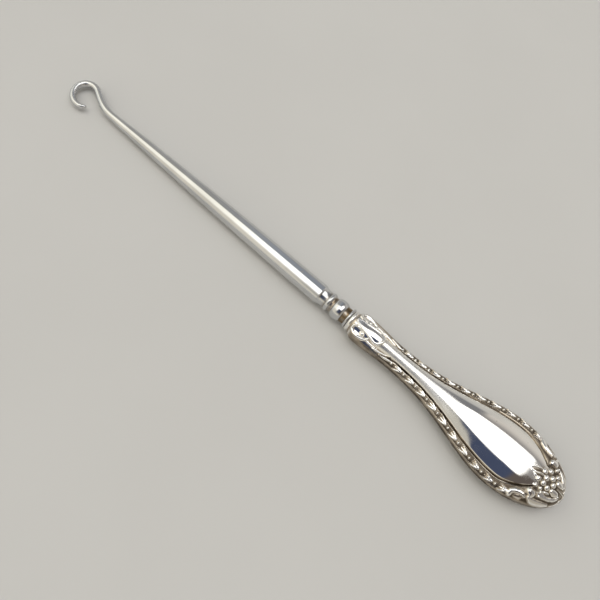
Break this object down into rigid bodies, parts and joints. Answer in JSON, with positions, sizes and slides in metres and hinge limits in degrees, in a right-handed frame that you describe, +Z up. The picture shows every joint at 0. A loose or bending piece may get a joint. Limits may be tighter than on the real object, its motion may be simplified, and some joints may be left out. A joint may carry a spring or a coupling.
{
  "type": "button hook",
  "caption": "Button hook with a polished steel hook, tapered shank and turned bolster, held in a flat, spoon-shaped stamped silver handle with a husk border and berry end.",
  "frame": {"origin": "on the table under the middle of the tool's length and width, as it lies at rest on its shank and the belly of its handle", "axes": "+X along the tool toward the handle's end, +Y across it away from the tip of the hook, +Z up from the table"},
  "size_m": [0.2007, 0.0226, 0.0093],
  "materials": {
    "steel": "polished tool steel with light spotting",
    "silver": "polished sterling silver, tarnished in the recesses of the ornament",
    "filling": "dull brown pitch"
  },
  "bodies": {
    "root": {"hook_shank": "steel", "handle_front_half": "silver", "handle_back_half": "silver", "handle_filling": "filling"}
  },
  "joints": []
}
